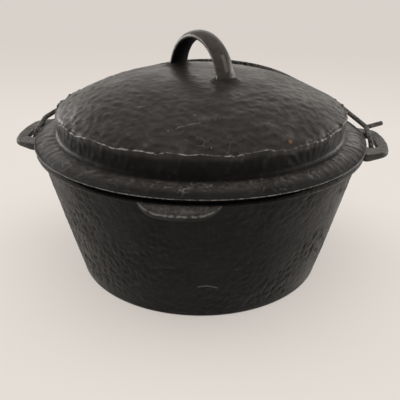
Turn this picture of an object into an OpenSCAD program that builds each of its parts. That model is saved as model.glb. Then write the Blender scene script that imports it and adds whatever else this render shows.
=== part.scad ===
// Covered cast-iron dutch oven with a wire bail.
// Millimetres, +Z up. The origin is the centre of the flat base, +X runs to
// the right ear and -Y to the front tab.

/* [Pot] */
// Outer radius of the wall just under the rim band
wall_top_r = 128.6; // [110:0.1:170]
// Outer radius of the wall at the base corner
base_r = 103; // [80:0.1:112]
// Height of the rim above the table
pot_h = 110; // [85:0.5:150]
// Thickness of the side wall
wall_t = 4.6; // [3:0.1:8]
// Thickness of the floor
floor_t = 5; // [3:0.1:9]
// How far the wall bows out beyond a straight taper at half height
wall_bow = 0.3; // [0:0.1:5]
// Height of the rounded heel under the base corner
heel_h = 4; // [1:0.1:6]
// How far the heel draws in at the table
heel_in = 2.8; // [1:0.1:8]
// Radius of the corner between floor and wall inside
inside_corner_r = 14; // [6:0.5:24]

/* [Rim] */
// Height of the plain band round the rim
band_h = 5; // [3:0.1:10]
// How far the band stands out from the wall
band_out = 4.2; // [2:0.1:6]
// Width of the rim, from the cavity to the band's outer edge
rim_w = 7.8; // [6:0.1:10]
// Width of the step between the lid's seat and the band's outer edge
step_w = 3.8; // [1:0.1:4]
// Drop of that step, which leaves a gap under the lid's flange
step_drop = 2.8; // [0.5:0.1:2.8]

/* [Ears] */
// Thickness of an ear
ear_t = 4.8; // [4.5:0.1:10]
// Drop from the rim to the top of an ear
ear_drop = 0.7; // [0.5:0.1:8]
// Width of the bar that closes an ear
ear_bar = 9.2; // [5:0.1:12]
// Half the length of an ear's outer edge, before its corners are rounded
ear_tip_half = 28; // [22:0.5:32]
// How far the outer edge falls back towards those corners
ear_sag = 3; // [0.5:0.1:6]
// Half the length of an ear where it leaves the wall
ear_root_half = 37.5; // [34:0.5:50]
// Radius of the outer corners of an ear
ear_corner_r = 12; // [4:0.5:13]
// Thickness of the two side arms of an ear, measured along the rim
ear_arm = 16; // [12:0.5:19]
// Gap from the rim band to the slot
slot_root = 0.8; // [0.5:0.1:4]
// Play of the wire inside the slot, on the side of the bar
slot_play = 1; // [0.5:0.1:6]
// Radius of the corners of the slot
slot_corner_r = 3; // [1:0.1:4]

/* [Front tab] */
// How far the tab stands out beyond the rim band
tab_out = 6.7; // [3:0.1:20]
// Half the width of the tab
tab_half = 29.5; // [18:0.5:45]
// Thickness of the tab
tab_t = 3; // [3:0.1:7]
// Drop from the rim to the top of the tab
tab_drop = 6.5; // [5.5:0.1:20]
// Turn of the tab about the pot's axis
tab_turn = -1.4; // [-30:0.1:30]

/* [Lid] */
// How far the lid's flange stands out beyond the rim band
flange_out = 1; // [0.5:0.1:5]
// Thickness of the flange over the seat
flange_t = 4.5; // [4:0.1:8]
// Radius of the ridge round the crown
ridge_r = 116.4; // [95:0.1:122]
// Height of the ridge above the rim
ridge_h = 23.2; // [14:0.1:40]
// Height of the dome above the ridge
dome_h = 29; // [10:0.5:50]
// Power that shapes the dome, where 2 is a parabola
dome_power = 2.5; // [1.8:0.1:3]
// How far the wall under the ridge leans in
step_in = 3; // [0:0.1:6]
// Thickness of the lid
lid_t = 4; // [3:0.1:6]
// Depth of the locating lip inside the rim
lip_depth = 4.5; // [2:0.1:8]
// Thickness of the locating lip
lip_t = 3.6; // [2:0.1:6]
// Gap between the lip and the rim round the side
lip_gap = 0.8; // [0.3:0.1:2]
// Gap between the lid and its seat
seat_gap = 0.3; // [0.2:0.05:0.6]

/* [Lid handle] */
// Radius of the arch, to the middle of the strap
arch_r = 34.5; // [26:0.5:42]
// How far the centre of the arch lies below the top of the dome
arch_sink = 7.5; // [2:0.5:10]
// Width of the strap
strap_w = 16; // [9:0.5:20]
// Thickness of the strap on its rounded outer side
strap_out = 4.6; // [3:0.1:7]
// Thickness of the strap on its flatter inner side
strap_in = 3.2; // [2:0.1:5]
// Angle of the handle about the lid's axis
handle_turn = -52; // [-90:1:90]
// Height of the mound round each foot
mound_h = 3; // [1:0.1:6]
// Radius of the mound at its foot
mound_r = 13; // [11:0.5:18]

/* [Bail] */
// Diameter of the wire
wire_d = 4; // [3:0.1:5]
// Clearance of each arm from the edge of the lid's flange
arm_clear = 3.2; // [1:0.1:5]
// Height of the hinge axis above the middle of an ear
axis_rise = 1.9; // [0.5:0.1:3]
// Reach of the bail from its hinge axis to the middle of the wire
bail_reach = 165; // [155:1:220]
// Radius of the bail's top
bail_top_r = 98; // [85:1:112]
// Distance along each arm from the hinge axis to its first inward bend
bend_at = 23.5; // [22:0.5:30]
// Radius of the first inward bend
bend_r = 14; // [8:0.5:18]
// Angle of the second inward bend about the lid's axis
knee_turn = 34; // [28:0.5:40]
// Clearance of the second inward bend from the edge of the lid's flange
knee_clear = 3; // [2.6:0.1:8]
// Radius of the second inward bend
knee_r = 60; // [20:1:100]
// Swing of the bail from rest to its forward stop
swing = 105; // [60:1:110]
// Clearance of the wire from the ear
wire_gap = 0.4; // [0.3:0.05:0.8]
// Radius of the bend under the ear
hook_r = 5; // [3:0.5:6]
// Radius of the small bend on the hinge axis
crank_r = 10; // [6:0.5:14]
// How far the hook's end stops short of the ear's outer edge
hook_short = 1.5; // [0:0.1:4]
// Distance along the right arm from the hinge axis to the turned-out end
stub_at = 23; // [14:0.5:23.5]
// Length of the turned-out end
stub_len = 16.5; // [8:0.5:24]
// Angle of the turned-out end behind the line of the hinge
stub_turn = 31; // [0:1:60]

/* [Hidden] */

fine = 180;
iron = [0.13, 0.125, 0.12];
worn = [0.17, 0.16, 0.15];
steel = [0.27, 0.26, 0.25];

// Small edges of the rim, and the depth that stays straight under the lip
band_edge = 0.5;
rim_edge = 0.8;
lip_room = 3;
wall_top_z = pot_h - band_h;
band_r = wall_top_r + band_out;
rim_inner_r = band_r - rim_w;
seat_r = band_r - step_w;

// Rounding where the ears leave the wall, and the tab's squared-off curve
root_r = 0.5;
ear_mid_r = 40;
tab_square = 4;
tab_round = 0.6;
ear_top = pot_h - ear_drop;
ear_bottom = ear_top - ear_t;
ear_root_x = wall_top_r - wall_t / 2;

wire_r = wire_d / 2;
flange_r = band_r + flange_out;
arm_x = flange_r + arm_clear + wire_r;
slot_inner_x = band_r + slot_root;
slot_outer_x = arm_x + wire_r + slot_play;
ear_reach = slot_outer_x + ear_bar;

tab_top = pot_h - tab_drop;
tab_reach = band_r + tab_out;

// Edges of the lid, its foot fillet, the rise and droop of its flange, and
// the shoulder and swell of its hollow
ridge_edge = 1.6;
foot = 3;
flange_edge = 1.6;
flange_rise = 0.7;
flange_droop = 2.6;
droop_power = 2.4;
lip_edge = 0.8;
shoulder = 4;
lid_swell = 0.6;
shoulder_step = 1;
lid_z = pot_h + seat_gap;
ridge_z = pot_h + ridge_h;
dome_top = ridge_z + dome_h;
lip_r = rim_inner_r - lip_gap;
arch_z = dome_top - arch_sink;
mound_sink = 4;
mound_flare = 1;
mound_top = strap_out + 1.5;

axis_z = ear_top - ear_t / 2 + axis_rise;

// The wire's bends overlap its straight lengths by a lap, and the straight
// lengths and the turned-out end are a shave slimmer
lap = 0.3;
shave = 0.02;
stub_shave = 0.1;

// Radius of the pot's outer wall at height z
function wall_r(z) =
    let (t = (z - heel_h) / (wall_top_z - heel_h))
    base_r + (wall_top_r - base_r) * t + 4 * wall_bow * t * (1 - t);

// Height of the lid's outer dome at radius r
function dome_z(r) = ridge_z + dome_h * (1 - pow(r / ridge_r, dome_power));

// Half the length of an ear at distance x from the pot's axis
function ear_half(x) =
    ear_root_half - (ear_root_half - ear_tip_half) * (x - ear_root_x) / (ear_reach - ear_root_x);

// Points of a polygon with each corner rounded by a radius
function rounded(points, radii, steps = 8) =
    let (n = len(points))
    [for (i = [0:n - 1])
        let (
            p = points[i],
            a = points[(i + n - 1) % n] - p,
            b = points[(i + 1) % n] - p,
            ua = a / norm(a),
            ub = b / norm(b),
            half = acos(ua * ub) / 2,
            reach = radii[i] / tan(half),
            mid = (ua + ub) / norm(ua + ub),
            centre = p + mid * radii[i] / sin(half),
            start = p + ua * reach - centre,
            finish = p + ub * reach - centre,
            from = atan2(start[1], start[0]),
            turn = (atan2(finish[1], finish[0]) - from + 540) % 360 - 180
        )
        for (k = [0:steps])
            centre + radii[i] * [cos(from + turn * k / steps), sin(from + turn * k / steps)]
    ];

// Outline of the pot from the axis along the base and up the outside
function pot_outside() = concat(
    [[0, 0]],
    [for (k = [0:6])
        [base_r - heel_in + heel_in * sin(15 * k), heel_h * (1 - cos(15 * k))]],
    [for (k = [1:16])
        let (z = heel_h + (wall_top_z - heel_h) * k / 16)
        [wall_r(z), z]],
    [
        [band_r - band_edge, wall_top_z],
        [band_r, wall_top_z + band_edge],
        [band_r, pot_h - step_drop - band_edge],
        [band_r - band_edge, pot_h - step_drop],
        [seat_r, pot_h - step_drop],
        [seat_r, pot_h - rim_edge],
        [seat_r - rim_edge, pot_h]
    ]
);

// Radius of the pot's inner wall at height z
function inside_r(z) = min(wall_r(z) - wall_t, rim_inner_r);

// Outline of the cavity from the rim down to the floor
function pot_inside() =
    let (
        seat_low = pot_h - lip_depth - lip_room,
        taper_top = seat_low - 2 * lip_room,
        corner_z = floor_t + inside_corner_r
    )
    concat(
        [
            [rim_inner_r, pot_h],
            [rim_inner_r, seat_low]
        ],
        [for (k = [0:12])
            let (z = taper_top + (corner_z - taper_top) * k / 12)
            [inside_r(z), z]],
        [for (k = [1:8])
            [
                inside_r(corner_z) - inside_corner_r * (1 - cos(11.25 * k)),
                corner_z - inside_corner_r * sin(11.25 * k)
            ]],
        [[0, floor_t]]
    );

// Filled outside of the pot, which the ears and the tab are fitted to
module pot_block() {
    rotate_extrude($fn = fine)
        polygon(concat(pot_outside(), [[0, pot_h]]));
}

module pot() {
    color(iron)
        rotate_extrude($fn = fine)
            polygon(concat(pot_outside(), pot_inside()));
}

// One cast ear, a flat closed loop on the +X side
module ear() {
    inner = ear_half(slot_inner_x) - ear_arm;
    outer = ear_half(slot_outer_x) - ear_arm;
    translate([0, 0, ear_bottom])
        linear_extrude(ear_t)
            difference() {
                polygon(rounded(
                    [
                        [ear_root_x, -ear_root_half],
                        [ear_reach - ear_sag, -ear_tip_half],
                        [ear_reach, -ear_tip_half / 4],
                        [ear_reach, ear_tip_half / 4],
                        [ear_reach - ear_sag, ear_tip_half],
                        [ear_root_x, ear_root_half],
                        [wall_top_r / 2, ear_root_half / 4],
                        [wall_top_r / 2, -ear_root_half / 4]
                    ],
                    [root_r, ear_corner_r, ear_mid_r, ear_mid_r, ear_corner_r, root_r, root_r, root_r]
                ));
                polygon(rounded(
                    [
                        [slot_inner_x, -inner],
                        [slot_outer_x, -outer],
                        [slot_outer_x, outer],
                        [slot_inner_x, inner]
                    ],
                    [slot_corner_r, slot_corner_r, slot_corner_r, slot_corner_r]
                ));
            }
}

module right_ear() {
    color(worn)
        difference() {
            ear();
            pot_block();
        }
}

module left_ear() {
    color(worn)
        difference() {
            rotate([0, 0, 180]) ear();
            pot_block();
        }
}

// Crescent ledge under the rim at the front
module front_tab() {
    root_y = wall_r(tab_top - tab_t) - wall_t / 2;
    edge = tab_reach - root_y;
    color(worn)
        difference() {
            rotate([0, 0, tab_turn])
                translate([0, 0, tab_top - tab_t])
                    linear_extrude(tab_t)
                        polygon(concat(
                            [for (k = [0:24])
                                let (
                                    x = tab_half * cos(7.5 * k),
                                    swell = pow(1 - pow(abs(x) / tab_half, tab_square), tab_round)
                                )
                                [x, -sqrt(root_y * root_y - x * x) - edge * swell]],
                            [[-tab_half / 2, -root_y / 2], [tab_half / 2, -root_y / 2]]
                        ));
            pot_block();
        }
}

// Outline of the lid's outside from the top of the dome to the flange's edge
function lid_outside() =
    let (
        step_r = ridge_r - step_in,
        flange_top = lid_z + flange_t,
        foot_r = step_r + foot
    )
    concat(
        [for (k = [0:20])
            let (r = (ridge_r - ridge_edge) * sin(4.5 * k))
            [r, dome_z(r)]],
        [
            [ridge_r - ridge_edge / 3, ridge_z + ridge_edge / 4],
            [ridge_r, ridge_z - ridge_edge / 2],
            [ridge_r - step_in / 5, ridge_z - foot],
            [ridge_r - step_in / 2, ridge_z - 2.5 * foot],
            [step_r, flange_top + foot],
            [step_r + foot / 3, flange_top + foot / 3]
        ],
        [for (k = [0:8])
            let (r = foot_r + (flange_r - flange_edge - foot_r) * k / 8)
            [r, flange_top + flange_rise - flange_droop * pow(k / 8, droop_power)]],
        [
            [flange_r - flange_edge / 3, flange_top - flange_droop],
            [flange_r, lid_z + flange_edge * 0.75],
            [flange_r - flange_edge / 4, lid_z + flange_edge / 3],
            [flange_r - flange_edge, lid_z]
        ]
    );

// Outline of the lid's inside from the seat back to the axis
function lid_inside() =
    let (
        hollow_r = ridge_r - step_in - lid_t,
        shoulder_z = ridge_z - lid_t - shoulder_step,
        lip_in = lip_r - lip_t,
        lip_z = pot_h - lip_depth
    )
    concat(
        [
            [lip_r, lid_z],
            [lip_r, lip_z + lip_edge],
            [lip_r - lip_edge, lip_z],
            [lip_in + lip_edge, lip_z],
            [lip_in, lip_z + lip_edge],
            [lip_in, lid_z + lip_edge],
            [hollow_r + shoulder / 2, lid_z + shoulder / 2],
            [hollow_r, lid_z + shoulder],
            [hollow_r, shoulder_z - shoulder],
            [hollow_r - shoulder / 2, shoulder_z]
        ],
        [for (k = [0:14])
            let (r = (hollow_r - shoulder - shoulder_step) * cos(k * 90 / 14))
            [r, dome_z(r) - lid_t - lid_swell * pow(r / ridge_r, 2)]]
    );

// Filled outside of the lid's crown, which the handle is fitted to
module crown_block() {
    rotate_extrude($fn = fine)
        polygon(concat(lid_outside(), [[0, lid_z]]));
}

module lid_shell() {
    color(iron)
        rotate_extrude($fn = fine)
            polygon(concat(lid_outside(), lid_inside()));
}

// Section of the handle's strap, rounded outside and flatter inside
module strap() {
    polygon([for (k = [0:35])
        let (a = 10 * k, deep = cos(a) > 0 ? strap_out : strap_in)
        [arch_r + deep * cos(a), strap_w / 2 * sin(a)]]);
}

module lid_handle() {
    color(iron)
        rotate([0, 0, handle_turn])
            difference() {
                union() {
                    translate([0, 0, arch_z])
                        rotate([90, 0, 0])
                            rotate_extrude(angle = 180, $fn = fine)
                                strap();
                    for (side = [-1, 1])
                        translate([side * arch_r, 0, dome_z(arch_r) - mound_sink])
                            cylinder(h = mound_sink + mound_h, r1 = mound_r + mound_flare, r2 = mound_top, $fn = 72);
                }
                crown_block();
            }
}

// Straight length of wire between two points
module rod(a, b, r) {
    d = b - a;
    translate(a)
        rotate([0, acos(d[2] / norm(d)), atan2(d[1], d[0])])
            cylinder(h = norm(d), r = r, $fn = 48);
}

// Bend of radius r that leads from direction u into direction v at corner p
module elbow(p, u, v, r) {
    turn = acos(u * v);
    n = cross(u, v) / norm(cross(u, v));
    out = cross(u, n);
    centre = p - u * (r * tan(turn / 2)) - out * r;
    translate(centre)
        rotate([atan2(u[2], n[2]), asin(-out[2]), atan2(out[1], out[0])])
            rotate_extrude(angle = turn, $fn = fine)
                translate([r, 0])
                    circle(r = wire_r, $fn = 48);
}

// Wire along a path of points whose inner corners are bent to given radii.
// The straight lengths are a hair slimmer and run a little into the bends.
module bent_wire(points, radii) {
    n = len(points);
    dirs = [for (i = [0:n - 2]) (points[i + 1] - points[i]) / norm(points[i + 1] - points[i])];
    trims = [for (i = [0:n - 1])
        i == 0 || i == n - 1 ? 0 : radii[i] * tan(acos(dirs[i - 1] * dirs[i]) / 2) - lap];
    for (i = [0:n - 2])
        rod(points[i] + dirs[i] * trims[i], points[i + 1] - dirs[i] * trims[i + 1], wire_r - shave);
    for (i = [1:n - 2])
        elbow(points[i], dirs[i - 1], dirs[i], radii[i]);
}

// The slot's end over which each arm lies back, measured from the hinge axis
seat_y = ear_half(arm_x) - ear_arm;
seat_z = ear_top - axis_z;
// Tilt of the bail above the horizontal when its arms lie on the ears
rest_tilt = atan2(seat_z, seat_y) + asin((wire_r + wire_gap) / norm([seat_y, seat_z]));

// The hook passes under the ear at this distance from the hinge axis
under = axis_z - ear_bottom + wire_r + wire_gap;
hook_arm = under / cos(swing / 2);
hook_angle = 90 - swing / 2 - rest_tilt;
hook_v = -hook_arm * cos(hook_angle);
hook_w = -hook_arm * sin(hook_angle);

// The second inward bend, which keeps the wire just outside the lid's flange
knee_reach = flange_r + knee_clear + wire_r;
knee_x = knee_reach * cos(knee_turn);
knee_v = knee_reach * sin(knee_turn) / cos(rest_tilt);

// Lean of the wire from there to the top, tangent to the top's circle
top_c = bail_reach - bail_top_r;
lean = acos(bail_top_r / norm([knee_x, knee_v - top_c])) + atan2(knee_v - top_c, knee_x);
apex_v = top_c + bail_top_r / sin(lean);

module bail() {
    half = [
        [ear_reach - hook_short, hook_v, hook_w],
        [arm_x, hook_v, hook_w],
        [arm_x, 0, 0],
        [arm_x, bend_at, 0]
    ];
    bends = [0, hook_r, crank_r, bend_r];
    top = [[knee_x, knee_v, 0], [0, apex_v, 0], [-knee_x, knee_v, 0]];
    path = concat(half, top, [for (i = [3:-1:0]) [-half[i][0], half[i][1], half[i][2]]]);
    radii = concat(bends, [knee_r, bail_top_r, knee_r], [for (i = [3:-1:0]) bends[i]]);
    stub = [arm_x, stub_at, 0];
    color(steel)
        translate([0, 0, axis_z])
            rotate([rest_tilt, 0, 0]) {
                bent_wire(path, radii);
                rod(stub, stub + stub_len * [cos(stub_turn), sin(stub_turn), 0], wire_r - stub_shave);
            }
}

pot();
left_ear();
right_ear();
front_tab();
lid_shell();
lid_handle();
bail();
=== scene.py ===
import math

import bpy
import numpy as np
from mathutils import Matrix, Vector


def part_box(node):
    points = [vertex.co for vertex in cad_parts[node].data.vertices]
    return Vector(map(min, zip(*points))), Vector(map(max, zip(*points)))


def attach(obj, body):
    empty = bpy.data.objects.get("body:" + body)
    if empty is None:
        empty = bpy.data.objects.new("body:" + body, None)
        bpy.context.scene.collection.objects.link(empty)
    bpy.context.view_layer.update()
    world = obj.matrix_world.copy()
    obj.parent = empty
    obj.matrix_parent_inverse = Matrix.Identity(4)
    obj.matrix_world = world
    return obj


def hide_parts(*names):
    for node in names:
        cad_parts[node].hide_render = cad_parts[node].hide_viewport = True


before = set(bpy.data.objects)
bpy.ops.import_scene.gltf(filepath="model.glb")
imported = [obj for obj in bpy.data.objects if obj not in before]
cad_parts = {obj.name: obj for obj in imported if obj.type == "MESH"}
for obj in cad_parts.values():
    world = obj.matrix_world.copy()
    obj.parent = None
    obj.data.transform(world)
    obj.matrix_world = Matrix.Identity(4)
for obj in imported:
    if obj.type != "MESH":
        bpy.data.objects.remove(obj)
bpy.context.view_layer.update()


# The pot is one iron casting: a round wall that tapers down to a flat base, with a plain
# band round its rim. Its outside was peened all over with a narrow hammer, and years of
# oil have baked on it nearly black.

POT_COLUMNS = 640
POT_WALL_STATIONS = 92
POT_BASE_R = 103.0
POT_WALL_TOP_R = 128.6
POT_WALL_BOW = 0.3
POT_WALL_T = 4.6
POT_FLOOR_T = 5.0
POT_BAND_H = 5.0
POT_RIM_W = 7.8
POT_STEP_W = 3.8
POT_STEP_DROP = 2.8
POT_HEEL = (2.8, 4.0)
POT_CORNER_R = 14.0
POT_PLAIN_FOOT = (5, 10)
POT_PLAIN_TOP = (0.5, 4)
POT_HEEL_LINE_Z = 3.6
POT_STEP_FILL = 2.2
POT_FRONT = (0.78, 0.93)
POT_BLOWS = 172
POT_BLOW_PITCH = (4.3, 5.8)
POT_BLOW_SIZE = (4.6, 2.6)
POT_BLOW_TURN = 1.35
POT_BLOW_DEPTH = 1.15
POT_SMALL_PITCH = (2.9, 4.1)
POT_SMALL_SIZE = (3.2, 1.7)
POT_SMALL_TURN = 1.45
POT_SMALL_DEPTH = 0.25
POT_SWELL_SIZE = (36, 30)
POT_SWELL_DEPTH = 0.25
POT_PATCH_SIZE = (30, 24)
POT_BAND_ROUGH = 0.12


def box_mm(node):
    """Lowest and highest corner of a CAD node in millimetres."""
    low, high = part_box(node)
    return np.array(low) * 1000, np.array(high) * 1000


def noise(u, v, around, seed):
    """Smooth random field from -1 to 1. Random values sit on a lattice of unit cells, are
    eased by 3t^2 - 2t^3 between neighbours, and repeat in u after `around` cells."""
    u, v = np.broadcast_arrays(u, v)
    iu, iv = np.floor(u).astype(int), np.floor(v).astype(int)
    rows = int(iv.max() - iv.min()) + 3
    table = np.random.default_rng(seed).uniform(-1, 1, (around, rows))
    fu, fv = u - iu, v - iv
    fu, fv = fu * fu * (3 - 2 * fu), fv * fv * (3 - 2 * fv)
    low = table[iu % around, iv % rows] * (1 - fu) + table[(iu + 1) % around, iv % rows] * fu
    high = table[iu % around, (iv + 1) % rows] * (1 - fu) + table[(iu + 1) % around, (iv + 1) % rows] * fu
    return low * (1 - fv) + high * fv


def peen(u, v, pitch, blow, turn, around, seed, swerves=0.3):
    """Height of a hammered surface over its deepest point, in blow depths. Each blow is a
    bowl q = (a / length)^2 + (b / width)^2 in axes turned by `turn`, an angle or a function of
    the place. One blow falls in each lattice cell, at a random place and strength, and the
    surface is the lowest bowl, cut off at a plateau."""
    reach, weakest, plateau = 2, 0.55, 1.3
    u, v = np.broadcast_arrays(u, v)
    rng = np.random.default_rng(seed)
    iu, iv = np.floor(u / pitch[0]).astype(int), np.floor(v / pitch[1]).astype(int)
    rows = int(iv.max() - iv.min()) + 6
    place_u, place_v = rng.random((2, around, rows))
    swerve = rng.normal(0, swerves, (around, rows))
    level = rng.uniform(0, weakest, (around, rows))
    lowest = np.full(u.shape, np.inf)
    for du in range(-reach, reach + 1):
        for dv in range(-reach, reach + 1):
            key = (iu + du) % around, (iv + dv) % rows
            centre_u = (iu + du + place_u[key]) * pitch[0]
            centre_v = (iv + dv + place_v[key]) * pitch[1]
            angle = (turn(centre_u, centre_v) if callable(turn) else turn) + swerve[key]
            a, b = u - centre_u, v - centre_v
            along = (a * np.cos(angle) + b * np.sin(angle)) / blow[0]
            across = (b * np.cos(angle) - a * np.sin(angle)) / blow[1]
            lowest = np.minimum(lowest, along**2 + across**2 + level[key])
    return np.clip(lowest, 0, plateau)


def fade(x, start, end):
    """0 before start, 1 after end, eased between."""
    t = np.clip((x - start) / (end - start), 0, 1)
    return t * t * (3 - 2 * t)


def skin(name, grid, marks, poles=True):
    """Closed mesh over a grid of points in mm, with a quad between each four neighbours. The
    first index wraps round. The second closes in one point at both ends, or wraps round too
    where poles is off. Each mark is a value per point, kept as an attribute."""
    nu, nv = grid.shape[:2]
    index = np.arange(nu * nv).reshape(nu, nv)
    if poles:
        index[:, 0], index[:, -1] = index[0, 0], index[0, -1]
    else:
        index = np.hstack([index, index[:, :1]])
    index = np.vstack([index, index[:1]])
    quads = np.stack([index[:-1, :-1], index[1:, :-1], index[1:, 1:], index[:-1, 1:]], -1)
    groups = [quads.reshape(-1, 4)]
    if poles:
        groups = [quads[:, 1:-1].reshape(-1, 4), quads[:, 0][:, [0, 2, 3]], quads[:, -1][:, :3]]
    used = np.unique(np.concatenate([g.ravel() for g in groups]))
    groups = [np.searchsorted(used, g) for g in groups]
    points = grid.reshape(-1, 3)[used] / 1000
    a, b, c, d = (points[corner] for corner in groups[0].T)
    volume = np.einsum("ij,ij->", a, np.cross(b, c) + np.cross(c, d))
    if volume < 0:
        groups = [g[:, ::-1] for g in groups]
    mesh = bpy.data.meshes.new(name)
    mesh.from_pydata(points.tolist(), [], [f for g in groups for f in g.tolist()])
    mesh.polygons.foreach_set("use_smooth", np.ones(len(mesh.polygons), dtype=bool))
    for mark, values in marks.items():
        layer = mesh.attributes.new(mark, "FLOAT", "POINT")
        values = np.broadcast_to(values, (nu, nv)).reshape(-1)[used]
        layer.data.foreach_set("value", values.astype(np.float32))
    mesh.update()
    piece = bpy.data.objects.new(name, mesh)
    bpy.context.scene.collection.objects.link(piece)
    return piece


def spin(r, z, columns):
    """Grid of a surface of revolution: (r cos t, r sin t, z), with r and z per station or
    per column and station."""
    t = np.linspace(0, 2 * math.pi, columns, endpoint=False)[:, None]
    r, z, t = np.broadcast_arrays(r, z, t)
    return np.stack([r * np.cos(t), r * np.sin(t), z], -1)


def profile_normals(r, z):
    """Unit normals of a profile drawn with its outside on the right."""
    dr, dz = np.gradient(r), np.gradient(z)
    length = np.hypot(dr, dz) + 1e-9
    return dz / length, -dr / length


def node_group(name, inputs, outputs):
    """Empty shader node group with the named sockets, and its input and output nodes."""
    group = bpy.data.node_groups.new(name, "ShaderNodeTree")
    for socket, kind, value in inputs:
        item = group.interface.new_socket(socket, in_out="INPUT", socket_type="NodeSocket" + kind)
        if value is not None:
            item.default_value = value
    for socket, kind in outputs:
        group.interface.new_socket(socket, in_out="OUTPUT", socket_type="NodeSocket" + kind)
    return group, group.nodes.new("NodeGroupInput"), group.nodes.new("NodeGroupOutput")


def add_noise(tree, vector, size_mm, detail=3.0, roughness=0.55, stretch=None):
    """Noise texture whose features are about size_mm across, on the given coordinates."""
    if stretch is not None:
        mapping = tree.nodes.new("ShaderNodeMapping")
        mapping.inputs["Scale"].default_value = stretch
        tree.links.new(vector, mapping.inputs["Vector"])
        vector = mapping.outputs["Vector"]
    texture = tree.nodes.new("ShaderNodeTexNoise")
    texture.inputs["Scale"].default_value = 1000 / size_mm
    texture.inputs["Detail"].default_value = detail
    texture.inputs["Roughness"].default_value = roughness
    tree.links.new(vector, texture.inputs["Vector"])
    return texture.outputs["Fac"]


def add_range(tree, value, low, high, to_low=0.0, to_high=1.0):
    """Eased Map Range from low..high to to_low..to_high."""
    ranger = tree.nodes.new("ShaderNodeMapRange")
    ranger.interpolation_type = "SMOOTHSTEP"
    for socket, number in zip(("From Min", "From Max", "To Min", "To Max"), (low, high, to_low, to_high)):
        ranger.inputs[socket].default_value = number
    tree.links.new(value, ranger.inputs["Value"])
    return ranger.outputs["Result"]


def add_math(tree, operation, a, b):
    """Math node on two inputs, each a socket or a number."""
    node = tree.nodes.new("ShaderNodeMath")
    node.operation = operation
    for socket, value in zip(node.inputs, (a, b)):
        if isinstance(value, (int, float)):
            socket.default_value = value
        else:
            tree.links.new(value, socket)
    return node.outputs[0]


def add_mix(tree, factor, a, b):
    """Colour mix from a to b, each a socket or a colour."""
    node = tree.nodes.new("ShaderNodeMix")
    node.data_type = "RGBA"
    tree.links.new(factor, node.inputs["Factor"])
    for socket, value in ((node.inputs[6], a), (node.inputs[7], b)):
        if isinstance(value, tuple):
            socket.default_value = value
        else:
            tree.links.new(value, socket)
    return node.outputs[2]


def make_casting_grain():
    """Sandy skin of an iron casting: fine grains, coarser lumps and scattered small pits."""
    group, given, out = node_group(
        "casting grain",
        [("Vector", "Vector", None), ("Grain", "Float", 0.5), ("Pits", "Float", 0.5)],
        [("Height", "Float"), ("Pit Mask", "Float")],
    )
    vector = given.outputs["Vector"]
    fine, lumps = add_noise(group, vector, 0.9, 4), add_noise(group, vector, 3.2, 3)
    pits = add_range(group, add_noise(group, vector, 2.1, 2), 0.33, 0.24)
    pits = add_math(group, "MULTIPLY", pits, given.outputs["Pits"])
    height = add_math(group, "ADD", add_math(group, "MULTIPLY", fine, given.outputs["Grain"]), lumps)
    height = add_math(group, "SUBTRACT", height, pits)
    group.links.new(height, out.inputs["Height"])
    group.links.new(pits, out.inputs["Pit Mask"])
    return group


def make_seasoning():
    """Baked oil on iron: a dark coat that thins in broad clouds, with fine mottling and
    pale specks of dust and salt."""
    group, given, out = node_group(
        "seasoning",
        [("Vector", "Vector", None), ("Dark", "Color", None), ("Thin", "Color", None),
         ("Speck", "Color", None), ("Specks", "Float", 1.0)],
        [("Color", "Color"), ("Sheen", "Float")],
    )
    vector = given.outputs["Vector"]
    clouds, mottle = add_noise(group, vector, 34, 4, 0.6), add_noise(group, vector, 5, 3, 0.6)
    cover = add_math(group, "ADD", clouds, add_math(group, "MULTIPLY", mottle, 0.5))
    cover = add_range(group, cover, 0.55, 0.98)
    colour = add_mix(group, cover, given.outputs["Dark"], given.outputs["Thin"])
    dots = group.nodes.new("ShaderNodeTexVoronoi")
    dots.inputs["Scale"].default_value = 120
    dots.inputs["Randomness"].default_value = 1
    group.links.new(vector, dots.inputs["Vector"])
    dust = add_range(group, dots.outputs["Distance"], 0.085, 0.03)
    sparse = add_range(group, add_noise(group, vector, 23, 2), 0.55, 0.7)
    dust = add_math(group, "MULTIPLY", add_math(group, "MULTIPLY", dust, sparse), given.outputs["Specks"])
    colour = add_mix(group, dust, colour, given.outputs["Speck"])
    group.links.new(colour, out.inputs["Color"])
    group.links.new(cover, out.inputs["Sheen"])
    return group


def make_edge_wear():
    """Bare metal where a surface stands proud and is worn, and painted highlight where the
    amount stands in for light, broken up so that it isn't even.
    """
    group, given, out = node_group(
        "edge wear",
        [("Vector", "Vector", None), ("Color", "Color", None), ("Bare", "Color", None),
         ("Amount", "Float", 0.0), ("Scuffs", "Float", 0.0)],
        [("Color", "Color"), ("Mask", "Float")],
    )
    breakup = add_range(group, add_noise(group, given.outputs["Vector"], 2.6, 4, 0.65), 0.36, 0.66)
    mask = add_math(group, "MULTIPLY", given.outputs["Amount"], breakup)
    curls = add_math(group, "SUBTRACT", add_noise(group, given.outputs["Vector"], 9, 1.5), 0.5)
    curls = add_range(group, add_math(group, "ABSOLUTE", curls, 0.0), 0.022, 0.006)
    sparse = add_range(group, add_noise(group, given.outputs["Vector"], 14, 2), 0.5, 0.62)
    curls = add_math(group, "MULTIPLY", add_math(group, "MULTIPLY", curls, sparse), given.outputs["Scuffs"])
    mask = add_math(group, "MAXIMUM", mask, curls)
    colour = add_mix(group, mask, given.outputs["Color"], given.outputs["Bare"])
    group.links.new(colour, out.inputs["Color"])
    group.links.new(mask, out.inputs["Mask"])
    return group


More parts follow.
